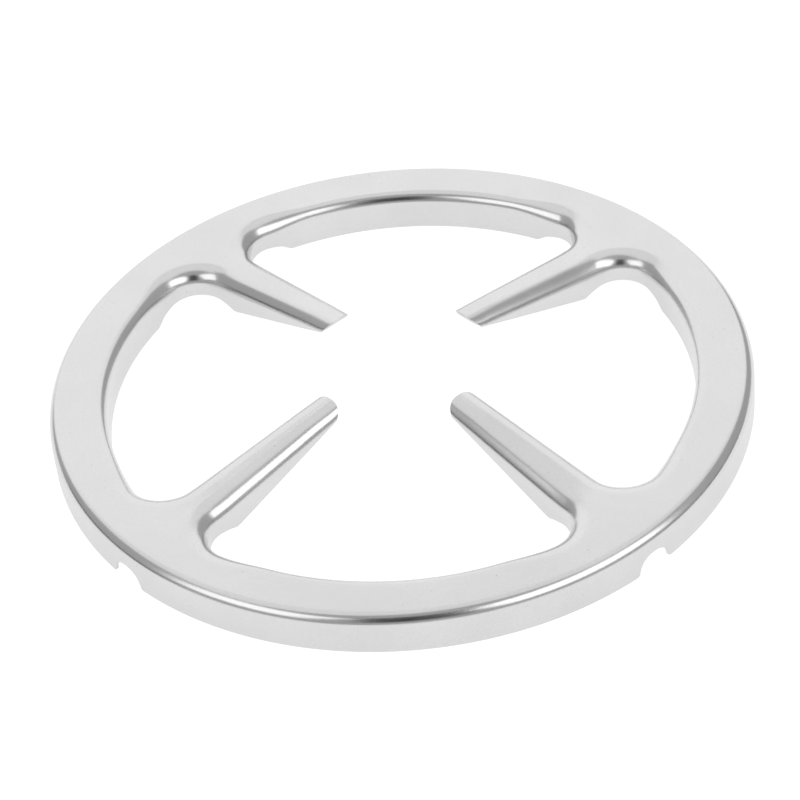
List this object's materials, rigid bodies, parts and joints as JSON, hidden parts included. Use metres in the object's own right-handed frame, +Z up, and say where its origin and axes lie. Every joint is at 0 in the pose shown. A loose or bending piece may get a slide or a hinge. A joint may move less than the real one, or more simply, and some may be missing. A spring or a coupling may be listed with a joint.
{
  "type": "wok ring",
  "caption": "Pressed stainless-steel wok ring for a gas hob: a channel-shaped ring with inward fingers and notches that fit over the arms of the pan support.",
  "frame": {"origin": "centre of the ring, on the plane of the lower edge of its outer flange, which it stands on", "axes": "+Z up along the ring's axis; two of the fingers lie along +X and -X and two along +Y and -Y"},
  "size_m": [0.23, 0.23, 0.0192],
  "materials": {
    "stainless_steel": "bright satin, as pressed"
  },
  "bodies": {
    "root": {"wok_ring": "stainless_steel"}
  },
  "joints": []
}
